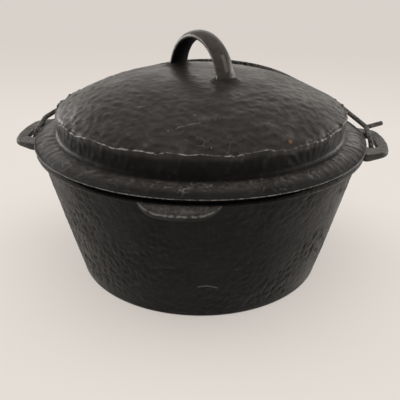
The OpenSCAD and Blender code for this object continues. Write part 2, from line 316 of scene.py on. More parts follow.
def make_scratch():
    """Mask of a short straight scratch, or of a round spot where both its ends are one place:
    1 near the line from one end to the other, 0 beyond a width from it."""
    group, given, out = node_group(
        "scratch",
        [("Vector", "Vector", None), ("From", "Vector", None), ("To", "Vector", None),
         ("Width", "Float", 0.001)],
        [("Mask", "Float")],
    )

    def vector_math(operation, a, b):
        node = group.nodes.new("ShaderNodeVectorMath")
        node.operation = operation
        group.links.new(a, node.inputs[0])
        group.links.new(b, node.inputs["Scale"] if operation == "SCALE" else node.inputs[1])
        return node.outputs["Value"] if operation in ("DOT_PRODUCT", "DISTANCE") else node.outputs["Vector"]

    line = vector_math("SUBTRACT", given.outputs["To"], given.outputs["From"])
    away = vector_math("SUBTRACT", given.outputs["Vector"], given.outputs["From"])
    reached = vector_math("DOT_PRODUCT", away, line)
    share = add_math(group, "DIVIDE", reached, vector_math("DOT_PRODUCT", line, line))
    share = add_math(group, "MINIMUM", add_math(group, "MAXIMUM", share, 0.0), 1.0)
    distance = vector_math("DISTANCE", away, vector_math("SCALE", line, share))
    mask = add_range(group, add_math(group, "DIVIDE", distance, given.outputs["Width"]), 1.0, 0.4)
    group.links.new(mask, out.inputs["Mask"])
    return group


GRAIN, SEASONING, EDGE_WEAR = make_casting_grain(), make_seasoning(), make_edge_wear()
SCRATCH = make_scratch()
# Near-black for painted shade in corners, recesses and under overhangs.
PAINTED_SHADE = (0.0034, 0.0031, 0.0029, 1)
PALE_SPECK = (0.2, 0.19, 0.18, 1)
DUST_TINT = (1.0, 0.95, 0.89, 1)


def place_group(tree, group, **values):
    """Node of a shader group, its sockets set or linked by name, with _ for a space."""
    node = tree.nodes.new("ShaderNodeGroup")
    node.node_tree = group
    for name, value in values.items():
        socket = node.inputs[name.replace("_", " ")]
        if isinstance(value, bpy.types.NodeSocket):
            tree.links.new(value, socket)
        else:
            socket.default_value = value
    return node


def new_material(name):
    """Empty material, its node tree, its Principled shader and its Object coordinates."""
    material = bpy.data.materials.new(name)
    material.use_nodes = True
    tree = material.node_tree
    place = tree.nodes.new("ShaderNodeTexCoord").outputs["Object"]
    return material, tree, tree.nodes["Principled BSDF"], place


def add_attribute(tree, name):
    """Value of the piece's own attribute of that name."""
    node = tree.nodes.new("ShaderNodeAttribute")
    node.attribute_name = name
    return node.outputs["Fac"]


def add_bump(tree, height, depth_mm, shader):
    """Relief of a height socket on a shader."""
    bump = tree.nodes.new("ShaderNodeBump")
    bump.inputs["Strength"].default_value = 1.0
    bump.inputs["Distance"].default_value = depth_mm / 1000
    tree.links.new(height, bump.inputs["Height"])
    tree.links.new(bump.outputs["Normal"], shader.inputs["Normal"])


def seasoned_iron(
    name, dark, thin, bare, roughness, grain, depth_mm, pits, specks, shine, dust=0.0, marks=(),
):
    """Material of seasoned cast iron. The piece's `wear_and_highlight` attribute bares its high places,
    partly as worn metal and partly as painted highlight, and `scuff` scatters fine curls of bare metal.
    Its `painted_shade` attribute is painted shade: it mixes the colour towards near-black and roughens
    it in corners, recesses and under overhangs, where shade falls. Each mark is a colour, a
    width and places in millimetres."""
    material, tree, shader, place = new_material(name)
    coat = place_group(
        tree, SEASONING, Vector=place, Dark=dark, Thin=thin, Speck=PALE_SPECK, Specks=specks,
    )
    wear_and_highlight = place_group(
        tree, EDGE_WEAR, Vector=place, Color=coat.outputs["Color"], Bare=bare,
        Amount=add_attribute(tree, "wear_and_highlight"), Scuffs=add_attribute(tree, "scuff"),
    )
    skin_grain = place_group(tree, GRAIN, Vector=place, Grain=grain, Pits=pits)
    # Painted shade: the colour is mixed towards near-black where the piece's shade attribute is set.
    painted_shade_mask = add_attribute(tree, "painted_shade")
    colour = add_mix(tree, painted_shade_mask, wear_and_highlight.outputs["Color"], PAINTED_SHADE)
    for paint, width, places in marks:
        for start, end in zip(places, places[1:] or places):
            scratch = place_group(
                tree, SCRATCH, Vector=place, Width=width / 1000,
                From=[c / 1000 for c in start], To=[c / 1000 for c in end],
            )
            colour = add_mix(tree, scratch.outputs["Mask"], colour, paint)
    tree.links.new(colour, shader.inputs["Base Color"])
    shader.inputs["Specular IOR Level"].default_value = shine
    shader.inputs["Sheen Weight"].default_value = dust
    shader.inputs["Sheen Roughness"].default_value = 0.35
    shader.inputs["Sheen Tint"].default_value = DUST_TINT
    gloss = add_range(tree, coat.outputs["Sheen"], 0.0, 1.0, roughness + 0.06, roughness - 0.05)
    gloss = add_math(tree, "SUBTRACT", gloss, add_math(tree, "MULTIPLY", wear_and_highlight.outputs["Mask"], 0.12))
    gloss = add_math(tree, "ADD", gloss, add_math(tree, "MULTIPLY", painted_shade_mask, 0.3))
    tree.links.new(gloss, shader.inputs["Roughness"])
    add_bump(tree, skin_grain.outputs["Height"], depth_mm, shader)
    return material


def dress(piece, material, body, node):
    """Gives a finished piece its material and body, and hides the CAD node it stands for."""
    piece.data.materials.append(material)
    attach(piece, body)
    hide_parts(node)


def pot_wall_r(z, rim_z):
    """Radius of the pot's outside at height z: a straight taper with a slight bow."""
    t = (z - POT_HEEL[1]) / (rim_z - POT_BAND_H - POT_HEEL[1])
    return POT_BASE_R + (POT_WALL_TOP_R - POT_BASE_R) * t + 4 * POT_WALL_BOW * t * (1 - t)


def pot_profile(rim_r, rim_z):
    """Stations (r, z) from the middle of the base, up the outside, over the stepped rim and
    down the inside to the middle of the floor: straight lines joined by quarter rounds."""
    quarter = np.linspace(0, math.pi / 2, 7)
    heel = (
        POT_BASE_R - POT_HEEL[0] + POT_HEEL[0] * np.sin(quarter),
        POT_HEEL[1] * (1 - np.cos(quarter)),
    )
    base = np.linspace(0, heel[0][0], 5)[:-1], np.zeros(4)
    band_low, band_top = rim_z - POT_BAND_H, rim_z - POT_STEP_DROP
    wall_z = np.linspace(POT_HEEL[1], band_low - 0.6, POT_WALL_STATIONS)[1:]
    wall = pot_wall_r(wall_z, rim_z), wall_z
    band = (
        rim_r - np.array([3.6, 2.6, 1.2, 0.5, 0.1, 0.0, 0.3, 1.0, 2.4, 3.4]),
        np.append(band_low + np.array([-0.15, 0, 0, 0.15, 0.6]), band_top - np.array([0.6, 0.15, 0, 0, 0])),
    )
    seat_r, inner_r = rim_r - POT_STEP_W, rim_r - POT_RIM_W
    seat = (
        np.array([seat_r, seat_r, seat_r - 0.3, seat_r - 0.9, inner_r + 0.6, inner_r + 0.1, inner_r]),
        np.array([band_top + 0.4, rim_z - 0.8, rim_z - 0.2, rim_z, rim_z, rim_z - 0.3, rim_z - 1.0]),
    )
    corner_z = POT_FLOOR_T + POT_CORNER_R
    inside_z = np.linspace(rim_z - 8, corner_z, 12)
    inside = np.minimum(pot_wall_r(inside_z, rim_z) - POT_WALL_T, inner_r), inside_z
    turn = quarter[1:]
    corner = (
        inside[0][-1] - POT_CORNER_R * (1 - np.cos(turn)),
        corner_z - POT_CORNER_R * np.sin(turn),
    )
    floor = np.linspace(corner[0][-1], 0, 5)[1:], np.full(4, POT_FLOOR_T)
    parts = (base, heel, wall, band, seat, inside, corner, floor)
    return np.concatenate([p[0] for p in parts]), np.concatenate([p[1] for p in parts])


def make_pot():
    """Surface of revolution of the pot's profile. The outside is pushed along its normal by
    two sizes of blows, mostly upright strokes, and by a slow swell of the whole casting. The
    rim's step is filled at the sides, so that it drops below the lid at the front only."""
    rim_r, _, rim_z = box_mm("pot")[1]
    r, z = pot_profile(rim_r, rim_z)
    across, up = profile_normals(r, z)
    station, widest = np.arange(len(r)), np.argmax(r)
    is_outside = station < widest + 6
    below_band = rim_z - POT_BAND_H - z
    hammered = fade(z, *POT_PLAIN_FOOT) * fade(below_band, *POT_PLAIN_TOP) * is_outside
    angle = np.linspace(0, 2 * math.pi, POT_COLUMNS, endpoint=False)[:, None]
    towards_front = -np.sin(angle)
    girth = POT_BLOWS * POT_BLOW_PITCH[0]
    u = angle / (2 * math.pi) * POT_BLOWS * POT_BLOW_PITCH[0]

    def swell(size, seed):
        """Slow noise over the wall, its cells about size mm wide and high."""
        return noise(u / size[0], z / size[1], int(girth / size[0]), seed)

    blow = peen(
        u, z, POT_BLOW_PITCH, POT_BLOW_SIZE, POT_BLOW_TURN, around=POT_BLOWS, seed=11, swerves=0.6,
    )
    blow = 1 - np.exp(-2 * blow)
    small = peen(
        u, z, POT_SMALL_PITCH, POT_SMALL_SIZE, POT_SMALL_TURN,
        around=int(girth / POT_SMALL_PITCH[0]), seed=13, swerves=0.7,
    )
    strength = 0.2 + 0.8 * fade(swell(POT_PATCH_SIZE, seed=8), -0.5, 0.6)
    strength = strength * (1 - 0.35 * fade(towards_front, 0.6, 0.95))
    relief = POT_BLOW_DEPTH * strength * (blow - 0.8) + POT_SMALL_DEPTH * strength * (small - 0.7)
    push = hammered * (relief + POT_SWELL_DEPTH * swell(POT_SWELL_SIZE, seed=5))
    band = is_outside * fade(-below_band, 0, 0.6)
    push = push - POT_BAND_ROUGH * band * (1 + swell((9, 9), seed=3))
    at_side = 1 - fade(towards_front, *POT_FRONT)
    on_step = (station > widest - 1) * is_outside * (z < rim_z - 1.5)
    new_z = z + up * push * (z > 0.5) + POT_STEP_FILL * at_side * on_step
    grid = spin(r + across * push, new_z, POT_COLUMNS)

    ridge = fade(small, 0.9, 1.2) * hammered * 0.12
    # The heel's bright line and the band's two edge lines are partly worn metal and partly painted highlight:
    # the heel's line stands in for the table mirrored in the rounded heel, and the edge lines are stronger at
    # the sides, where light falls on them.
    heel = np.exp(-((z - POT_HEEL_LINE_Z) ** 2)) * is_outside * 0.6
    line = (0.2 + 0.8 * at_side) * is_outside
    low_edge = np.exp(-(((below_band + 0.35) / 0.35) ** 2)) * line
    high_edge = np.exp(-(((below_band + POT_BAND_H - POT_STEP_DROP - 0.2) / 0.3) ** 2))
    high_edge = high_edge * (r > rim_r - 0.9) * line
    wear_and_highlight = np.clip(ridge + heel + 1.6 * low_edge + 1.8 * high_edge, 0, 2)
    # Painted shade: the band's outer face and the wall just under the band are darkened where the lid's
    # flange and the band overhang them, leaving the worn edges light.
    face = (below_band < -0.5) * (r > rim_r - 0.3)
    under_band = is_outside * (below_band >= 0) * np.exp(-((np.maximum(below_band, 0) / 3) ** 2))
    painted_shade = np.clip((0.8 * face + 0.7 * under_band) * (1 - np.clip(wear_and_highlight, 0, 1)), 0, 1)
    return skin("pot_casting", grid, {"wear_and_highlight": wear_and_highlight, "painted_shade": painted_shade})


POT_SCRAPE = (0.10, 0.095, 0.09, 1)
POT_MARKS = ((POT_SCRAPE, 0.7, [(7.7, -110.1, 32), (14, -109.7, 33), (21, -107.9, 30.5)]),)
POT_IRON = seasoned_iron(
    "pot iron", dark=(0.0028, 0.0027, 0.0027, 1), thin=(0.0065, 0.0062, 0.0060, 1),
    bare=(0.055, 0.052, 0.049, 1), roughness=0.38, grain=0.5, depth_mm=0.32, pits=0.9, specks=0.7, shine=0.13,
    dust=0.06, marks=POT_MARKS,
)
dress(make_pot(), POT_IRON, "pot", "pot")


# The ears are flat iron loops cast on the rim, one each side, and the bail's wire runs
# through their slots. Their edges are rounded and worn bare along their upper corners, and
# their tops are smoother and carry a painted sheen that makes them lighter and greyer than
# the hammered wall.

EAR_TIP_HALF = 28.0
EAR_SAG = 3.0
EAR_ROOT_HALF = 37.5
EAR_CORNER_R = 12.0
EAR_MIDDLE_R = 40.0
EAR_ARM = 16.0
EAR_BAR = 9.2
EAR_SLOT_GAP = 0.8
EAR_ROOT_EXTRA = 2.4
EAR_SLOT_R = 3.0
EAR_ROOT_X = POT_WALL_TOP_R - POT_WALL_T / 2
EAR_STATIONS = 360
EAR_POWER = 0.42
RIM_R = box_mm("pot")[1][0]


def rounded_loop(corners, radii, stations):
    """Points evenly spaced along a polygon whose corners are rounded, starting midway along
    its last edge."""
    corners = np.array(corners, float)
    path = []
    for k, corner in enumerate(corners):
        a, b = corners[k - 1] - corner, corners[(k + 1) % len(corners)] - corner
        ua, ub = a / np.linalg.norm(a), b / np.linalg.norm(b)
        half = math.acos(np.clip(ua @ ub, -1, 1)) / 2
        middle = (ua + ub) / np.linalg.norm(ua + ub)
        centre = corner + middle * radii[k] / math.sin(half)
        start, end = corner + ua * radii[k] / math.tan(half), corner + ub * radii[k] / math.tan(half)
        first = math.atan2(*(start - centre)[::-1])
        turn = (math.atan2(*(end - centre)[::-1]) - first + math.pi) % (2 * math.pi) - math.pi
        sweep = first + turn * np.linspace(0, 1, 12)
        path.append(centre + radii[k] * np.stack([np.cos(sweep), np.sin(sweep)], 1))
    path = np.vstack([(corners[-1] + corners[0]) / 2, *path, (corners[-1] + corners[0]) / 2])
    length = np.concatenate([[0], np.cumsum(np.linalg.norm(np.diff(path, axis=0), axis=1))])
    where = np.linspace(0, length[-1], stations, endpoint=False)
    return np.stack([np.interp(where, length, path[:, k]) for k in (0, 1)], 1)


def eased_section(s, power):
    """Rounded bar: cos s and sin s, each raised to a power with its sign kept."""
    across, up = np.cos(s), np.sin(s)
    return np.sign(across) * np.abs(across) ** power, np.sign(up) * np.abs(up) ** power


def make_ear(name, node, side):
    """Closed ring round the slot. Along it, a rounded bar runs from the slot's edge to the
    nearest point of the ear's outer edge straight out from it: half its width times the eased
    cosine, half its height times the eased sine. Its underside is deeper towards the root."""
    low, high = box_mm(node)
    reach = max(abs(low[0]), abs(high[0]))
    slope = (EAR_ROOT_HALF - EAR_TIP_HALF) / (reach - EAR_ROOT_X)
    slot_in, slot_out = RIM_R + EAR_SLOT_GAP, reach - EAR_BAR
    half_in = EAR_ROOT_HALF - slope * (slot_in - EAR_ROOT_X) - EAR_ARM
    half_out = EAR_ROOT_HALF - slope * (slot_out - EAR_ROOT_X) - EAR_ARM
    slot = rounded_loop(
        [(slot_in, -half_in), (slot_out, -half_out), (slot_out, half_out), (slot_in, half_in)],
        [EAR_SLOT_R] * 4, EAR_STATIONS,
    )
    half = [(EAR_ROOT_X, EAR_ROOT_HALF), (reach - EAR_SAG, EAR_TIP_HALF), (reach, EAR_TIP_HALF / 4)]
    radii = [1.0, EAR_CORNER_R, EAR_MIDDLE_R]
    outer = rounded_loop(
        [(x, -y) for x, y in half] + half[::-1], radii + radii[::-1], EAR_STATIONS * 4,
    )
    facing = np.gradient(slot, axis=0)
    facing = np.stack([facing[:, 1], -facing[:, 0]], 1)
    facing /= np.linalg.norm(facing, axis=1)[:, None]
    gap = outer[None] - slot[:, None]
    along = np.einsum("ijk,ik->ij", gap, facing)
    miss = np.abs(gap[..., 0] * facing[:, None, 1] - gap[..., 1] * facing[:, None, 0])
    outer = outer[np.argmin(np.where(along > 0.5, miss + 0.02 * along, 1e6), axis=1)]
    for _ in range(6):
        outer = (np.roll(outer, 1, 0) + outer + np.roll(outer, -1, 0)) / 3
    s = np.linspace(0, 2 * math.pi, 36, endpoint=False)[None]
    level, thick = (low[2] + high[2]) / 2, (high[2] - low[2]) / 2
    ease_w, ease_h = eased_section(s, EAR_POWER)
    middle, reach_out = (slot + outer) / 2, (outer - slot) / 2
    flat = middle[:, None] + reach_out[:, None] * ease_w[..., None]
    bumps = noise(flat[..., 0] / 3.1, flat[..., 1] / 3.1, 64, 21 + side) * 0.16
    dishes = noise(flat[..., 0] / 9, flat[..., 1] / 9, 32, 31 + side) * 0.14
    deeper = EAR_ROOT_EXTRA * (1 - fade(flat[..., 0], RIM_R - 4, reach - 2)) * (ease_h < 0)
    height = level + (thick - 0.3 + bumps + dishes + deeper) * ease_h
    grid = np.stack([flat[..., 0], flat[..., 1], height], -1)
    grid[..., :2] *= side
    # The upper corners are worn bare; the top face gets a painted sheen, lightened as if lit from above.
    edge = np.clip(np.abs(ease_w) * np.abs(ease_h) * 1.4 - 0.75, 0, 1) * (ease_h > 0)
    top = 0.35 * fade(ease_h, 0.7, 0.95)
    return skin(name, grid, {"wear_and_highlight": edge + top}, poles=False)


EAR_IRON = seasoned_iron(
    "ear iron", dark=(0.018, 0.0173, 0.0163, 1), thin=(0.046, 0.0435, 0.040, 1),
    bare=(0.13, 0.122, 0.113, 1), roughness=0.46, grain=0.7, depth_mm=0.28, pits=1.2, specks=0.8, shine=0.4,
)
for ear_node, ear_side in (("left_ear", -1), ("right_ear", 1)):
    ear = make_ear(ear_node + "_loop", ear_node, ear_side)
    dress(ear, EAR_IRON, "pot", ear_node)


# The ledge at the front is a shallow iron crescent cast on just under the rim band. Its top
# is painted lighter in streaks as painted light, its outer edge has a bright line, partly
# worn metal and partly painted highlight, and its outer lower face is painted shade, lighter
# towards its left end.

LEDGE_HALF = 29.5
LEDGE_TURN = math.radians(-1.4)
LEDGE_FALL = 4.4
LEDGE_DEPTH = 3.6
LEDGE_POWER = 0.6
LEDGE_STATIONS = 120


def make_front_ledge():
    """Section of a rounded wedge, carried from side to side along the wall: it stands out by
    reach * (1 - (x / half)^4)^0.6, falls outwards, and sinks into the wall at both ends."""
    low = box_mm("front_tab")[0]
    rim_z = box_mm("pot")[1][2]
    reach = -low[1]
    root_z = rim_z - POT_STEP_DROP - 0.5
    root_r = pot_wall_r(low[2], rim_z) - POT_WALL_T / 2
    x = LEDGE_HALF * np.cos(np.linspace(math.pi, 0, LEDGE_STATIONS))[:, None]
    swell = np.maximum(1 - (np.abs(x) / LEDGE_HALF) ** 4, 0) ** 0.6
    root_y = np.sqrt(root_r**2 - x**2)
    s = np.linspace(0, 2 * math.pi, 28, endpoint=False)[None]
    ease_w, ease_h = eased_section(s, LEDGE_POWER)
    depth = (reach - root_r) * swell / 2 + 0.4
    ripple = 0.12 * noise(x / 6, s, 32, seed=41)
    out = root_y + depth * (1 + ease_w) + ripple * (ease_w > 0)
    beyond = np.clip((np.hypot(x, out) - RIM_R + 0.6) / (reach - RIM_R + 0.6), 0, 1)
    top_z = root_z - LEDGE_FALL * beyond * (0.3 + 0.7 * swell)
    height = top_z - LEDGE_DEPTH * (0.25 + 0.75 * swell) * (1 - ease_h) / 2
    cos_t, sin_t = math.cos(LEDGE_TURN), math.sin(LEDGE_TURN)
    grid = np.stack([x * cos_t + out * sin_t, x * sin_t - out * cos_t, height], -1)
    grid[0], grid[-1] = grid[0].mean(0), grid[-1].mean(0)
    grid = np.swapaxes(grid, 0, 1)
    streaks = 0.5 + 0.5 * noise(x / 2.2, 0, 64, seed=42)
    # Painted light: the top is lightened in streaks, the outer edge gets a bright line that is partly worn
    # metal and partly painted highlight, and the outer lower face gets painted shade, lighter towards the
    # left end.
    on_top = fade(ease_h, 0.6, 0.95) * (1 - fade(ease_w, 0.5, 0.8)) * (0.15 + 0.5 * streaks)
    on_edge = 4.0 * fade(ease_w, 0.8, 0.9) * fade(ease_h, 0.55, 0.75) * (1 - fade(ease_h, 0.9, 1.0))
    wear_and_highlight = on_top + on_edge * fade(swell, 0.2, 0.6)
    painted_shade = 0.75 * fade(ease_w, 0.3, 0.6) * (1 - fade(ease_h, 0.2, 0.5)) * fade(x, -LEDGE_HALF, 0)
    return skin("front_ledge", grid, {"wear_and_highlight": wear_and_highlight.T, "painted_shade": painted_shade.T})


dress(make_front_ledge(), EAR_IRON, "pot", "front_tab")


# The lid is one iron casting: a hammered dome inside a scalloped ridge, a step down to a
# wide flange that covers the rim, and a lip underneath that drops inside it. The flange was
# struck outwards from the step, which left curved ridges, and the ridge's crest is worn bare,
# with a painted highlight along it. A painted sheen lies on the flange's roll, and painted
# shade on its outer half, at the step's foot and round the handle's feet.

LID_COLUMNS = 640
LID_SEAT_GAP = 0.3
LID_FOOT_TURN = math.radians(-52)
LID_FOOT_PLACE = 34.5
LID_FOOT_R = (5.5, 14.0)
LID_FOOT_H = 3.0
LID_RIDGE_R = 116.4
LID_RIDGE_H = 23.2
LID_DOME_H = 29.0
LID_DOME_POWER = 2.5
LID_STEP_IN = 1.4
LID_FILLET = (2.8, 2.6)
LID_ROLL_H = 4.6
LID_EDGE_T = 1.95
LID_T = 4.0
LID_LIP_DEPTH = 4.5
LID_LIP_T = 3.6
LID_LIP_GAP = 0.8
LID_SHIFT = 300
LID_BLOW_PITCH = (8.6, 8.6)
LID_BLOW_SIZE = (10.5, 4.2)
LID_SMALL_PITCH = (5.2, 5.2)
LID_SMALL_SIZE = (5.4, 2.6)
LID_STROKES = 144
LID_STROKE_PITCH = (5.0, 8.0)
LID_STROKE_SIZE = (8.5, 3.0)
LID_RAY_PITCH = (4.8, 8.5)
LID_RAY_SIZE = (9.0, 2.6)
LID_WAVE_H = 1.6
LID_BRIGHTEST = (4.48, 0.55)
RUST = (0.17, 0.065, 0.03, 1)
SCRAPE = (0.24, 0.225, 0.21, 1)
DULL_SCRAPE = (0.11, 0.10, 0.095, 1)
LID_MARKS = (
    (RUST, 2.0, [(67, -89, 136.2)]),
    (SCRAPE, 0.9, [(93.6, -69.2, 133.4)]),
    (SCRAPE, 0.5, [(20.5, -65, 154.6)]),
    (SCRAPE, 0.5, [(2.5, -81.5, 150.3)]),
    (SCRAPE, 0.5, [(-59, -66.5, 147.4)]),
    (SCRAPE, 0.6, [(41, -54, 154), (47, -56, 153)]),
    (DULL_SCRAPE, 0.6, [(-11.5, -96, 144), (-2.5, -91.5, 146.3), (6.5, -89, 147.3)]),
)


def dome_z(r, ridge_z):
    """Height of the dome at radius r: a power curve that falls to the ridge."""
    return ridge_z + LID_DOME_H * (1 - (r / LID_RIDGE_R) ** LID_DOME_POWER)


def lid_profile(flange_r, seat_z, rim_z):
    """Stations (r, z) from the top of the dome out to the flange's edge and back underneath,
    and the number of each zone: 0 dome, 1 ridge, 2 step, 3 flange, 4 underneath."""
    ridge_z = rim_z + LID_RIDGE_H
    step_r = LID_RIDGE_R - LID_STEP_IN
    dome_r = np.linspace(0, LID_RIDGE_R - 2.4, 82)
    dome = dome_r, dome_z(dome_r, ridge_z)
    ridge_r = LID_RIDGE_R + np.array([-1.6, -1.0, -0.55, -0.15, 0.0, 0.0])
    ridge = ridge_r, ridge_z + np.array([1.05, 0.9, 0.8, 0.45, -0.1, -0.9])
    down = np.linspace(0, 1, 17)
    foot_z = seat_z + LID_EDGE_T + LID_ROLL_H + LID_FILLET[1]
    step = LID_RIDGE_R - 0.3 - (LID_STEP_IN - 0.3) * down, ridge_z - 2 + (foot_z - ridge_z + 2) * down
    round_foot = np.linspace(0, math.pi / 2, 6)[1:]
    foot = step_r + LID_FILLET[0] * (1 - np.cos(round_foot)), foot_z - LID_FILLET[1] * np.sin(round_foot)
    out = np.linspace(0, 1, 17)[1:]
    flange = (
        step_r + LID_FILLET[0] + (flange_r - 1.6 - step_r - LID_FILLET[0]) * out,
        seat_z + LID_EDGE_T + LID_ROLL_H * (1 - 0.45 * out - 0.55 * out**3),
    )
    edge = (
        flange_r - np.array([0.9, 0.4, 0.1, 0.0, 0.15, 0.6, 1.6]),
        seat_z + np.array([1.95, 1.7, 1.35, 0.9, 0.5, 0.15, 0.0]),
    )
    lip_r = RIM_R - POT_RIM_W - LID_LIP_GAP
    lip_z = rim_z - LID_LIP_DEPTH
    hollow_r, shoulder_z = LID_RIDGE_R - 3 - LID_T, ridge_z - LID_T - 1
    under = (
        np.array([lip_r + 0.3, lip_r, lip_r, lip_r - 0.8, lip_r - LID_LIP_T + 0.8, lip_r - LID_LIP_T,
                  lip_r - LID_LIP_T, hollow_r + 1.5, hollow_r, hollow_r, hollow_r - 2]),
        np.array([seat_z, seat_z - 0.4, lip_z + 0.8, lip_z, lip_z, lip_z + 0.8,
                  seat_z + 1, seat_z + 2, seat_z + 4, shoulder_z - 4, shoulder_z]),
    )
    vault_r = (hollow_r - 5) * np.cos(np.linspace(0, math.pi / 2, 12))
    vault = vault_r, dome_z(vault_r, ridge_z) - LID_T
    zones = ((dome, 0), (ridge, 1), (step, 2), (foot, 2), (flange, 3), (edge, 3), (under, 4), (vault, 4))
    r = np.concatenate([shape[0] for shape, _ in zones])
    z = np.concatenate([shape[1] for shape, _ in zones])
    zone = np.concatenate([np.full(len(shape[0]), number) for shape, number in zones])
    r[0] = r[-1] = 0
    return r, z, zone


def make_lid():
    """Surface of revolution of the lid's profile, pushed along its normal. The dome has blows
    drawn out round the axis and a mound under each foot of the handle, the step has upright
    strokes that also chip the ridge, the crest rises and falls in waves, and the flange has
    ridges that curve outwards."""
    rim_z = box_mm("pot")[1][2]
    flange_r, seat_z = box_mm("lid_shell")[1][0], rim_z + LID_SEAT_GAP
    top_z = rim_z + LID_RIDGE_H
    r, z, zone = lid_profile(flange_r, seat_z, rim_z)
    in_r, in_z = profile_normals(r, z)
    angle = np.linspace(0, 2 * math.pi, LID_COLUMNS, endpoint=False)[:, None]
    x, y = r * np.cos(angle), r * np.sin(angle)
    at_front = fade(-np.sin(angle), 0.35, 0.75)
    at_side = 1 - 0.6 * at_front

    def round_axis(place_x, place_y):
        """Direction round the axis at a place on the shifted lattice."""
        return np.arctan2(place_y - LID_SHIFT, place_x - LID_SHIFT) + math.pi / 2

    on_dome = (zone == 0) * fade(r, 3, 16)
    outward = fade(r, 25, 100)
    lattice = x + LID_SHIFT, y + LID_SHIFT
    dome = peen(*lattice, LID_BLOW_PITCH, LID_BLOW_SIZE, round_axis, around=96, seed=51)
    small = peen(*lattice, LID_SMALL_PITCH, LID_SMALL_SIZE, round_axis, around=160, seed=54)
    strength = 0.6 + 0.4 * noise(x / 30 + 10, y / 30 + 10, 24, seed=52)
    push = on_dome * strength * (0.30 + 0.55 * outward) * (dome - 0.75)
    push = push + on_dome * (0.12 + 0.38 * outward) * (small - 0.7)
    swell = noise(x / 34 + 10, y / 34 + 10, 24, seed=53)
    push = push + (zone <= 1) * 0.5 * swell * fade(r, 0, 30)

    girth = LID_STROKES * LID_STROKE_PITCH[0]
    u = angle / (2 * math.pi) * LID_STROKES * LID_STROKE_PITCH[0]

    def along_rim(size, seed, v=0):
        """Noise round the lid, its cells about size mm long."""
        return noise(u / size, v, int(girth / size), seed)

    upright = peen(
        u, np.minimum(z, top_z - 1), LID_STROKE_PITCH, LID_STROKE_SIZE, 1.5,
        around=LID_STROKES, seed=61,
    )
    chips = along_rim(2.4, seed=82)
    push = push + (zone == 2) * 0.8 * (upright - 0.8) * fade(z, seat_z + 7, seat_z + 13)
    push = push + (zone == 1) * (0.8 * (upright - 0.9) + 0.2 * chips)
    waves = along_rim(10, seed=84) + 0.15 * chips
    near_crest = (zone <= 2) * np.exp(-(((r - LID_RIDGE_R) / 3) ** 2)) * fade(z, top_z - 6, top_z - 0.5)

    spread = np.clip((r - LID_RIDGE_R) / (flange_r - LID_RIDGE_R), 0, 1.2)
    rays = peen(
        u + 6 * spread**2, r, LID_RAY_PITCH, LID_RAY_SIZE, 1.25,
        around=int(girth / LID_RAY_PITCH[0]), seed=71,
    )
    on_flange = (zone == 3) * fade(r, LID_RIDGE_R - 1, LID_RIDGE_R + 3) * fade(flange_r - r, 0.2, 2.5)
    uneven = 0.35 * along_rim(26, seed=72, v=r / 10)
    push = push + on_flange * (0.55 * at_side * (rays - 0.75) + uneven)
    push = np.where(zone == 4, 0, np.minimum(push, np.where(zone == 3, 0.35, 0.6)))
    rim_wave = (zone == 3) * fade(r, flange_r - 2.5, flange_r - 0.3) * along_rim(9, seed=83)

    foot_x, foot_y = LID_FOOT_PLACE * math.cos(LID_FOOT_TURN), LID_FOOT_PLACE * math.sin(LID_FOOT_TURN)
    near_foot = np.minimum(np.hypot(x - foot_x, y - foot_y), np.hypot(x + foot_x, y + foot_y))
    mound = (zone == 0) * LID_FOOT_H * (1 - fade(near_foot, *LID_FOOT_R))
    new_r = np.minimum(r - in_r * push - 0.25 * np.abs(rim_wave), flange_r)
    new_z = z - in_z * push * (1 - 0.7 * fade(mound, 0, 1)) + mound
    new_z = new_z + LID_WAVE_H * near_crest * waves
    grid = spin(new_r, np.where(zone == 4, z, np.maximum(new_z, seat_z)), LID_COLUMNS)

    crest = (zone == 1) * (z > top_z) * np.exp(-(((r - LID_RIDGE_R + 0.4) / 0.4) ** 2))
    # The crest is partly worn bare and partly a painted highlight: the line is made stronger towards the
    # front and brightest round LID_BRIGHTEST, where light glints on it.
    brightest = np.exp(-(((angle - LID_BRIGHTEST[0]) / LID_BRIGHTEST[1]) ** 2))
    crest_worn_and_glint = 2.0 * crest * (0.12 + 0.3 * at_front + 0.75 * brightest) * (0.8 + 0.6 * chips)
    dome_top = on_dome * outward * (0.10 * fade(dome, 0.9, 1.25) + 0.05 * fade(small, 0.9, 1.2))
    ray_top = fade(rays, 0.85, 1.2) * on_flange * 0.3 * at_side
    # The flange's outer edge gets a thin bright line, partly worn metal and partly painted highlight.
    rim_edge = (zone == 3) * (r > flange_r - 1) * np.exp(-(((z - seat_z - 0.7) / 0.4) ** 2)) * 1.3
    stroke_top = (zone == 2) * fade(upright, 0.95, 1.25) * 0.15
    roll = (r - LID_RIDGE_R - 1.5) / (flange_r - LID_RIDGE_R - 1.5)
    # Painted sheen: a lighter band along the top of the flange's roll, where it faces the light.
    wear_and_sheen = 0.16 + 0.08 * along_rim(7, seed=73, v=r / 5)
    painted_roll_sheen = (zone == 3) * np.exp(-(((roll - 0.3) / 0.24) ** 2)) * wear_and_sheen
    wear_and_highlight = np.clip(crest_worn_and_glint + dome_top + ray_top + rim_edge + stroke_top + painted_roll_sheen, 0, 3)
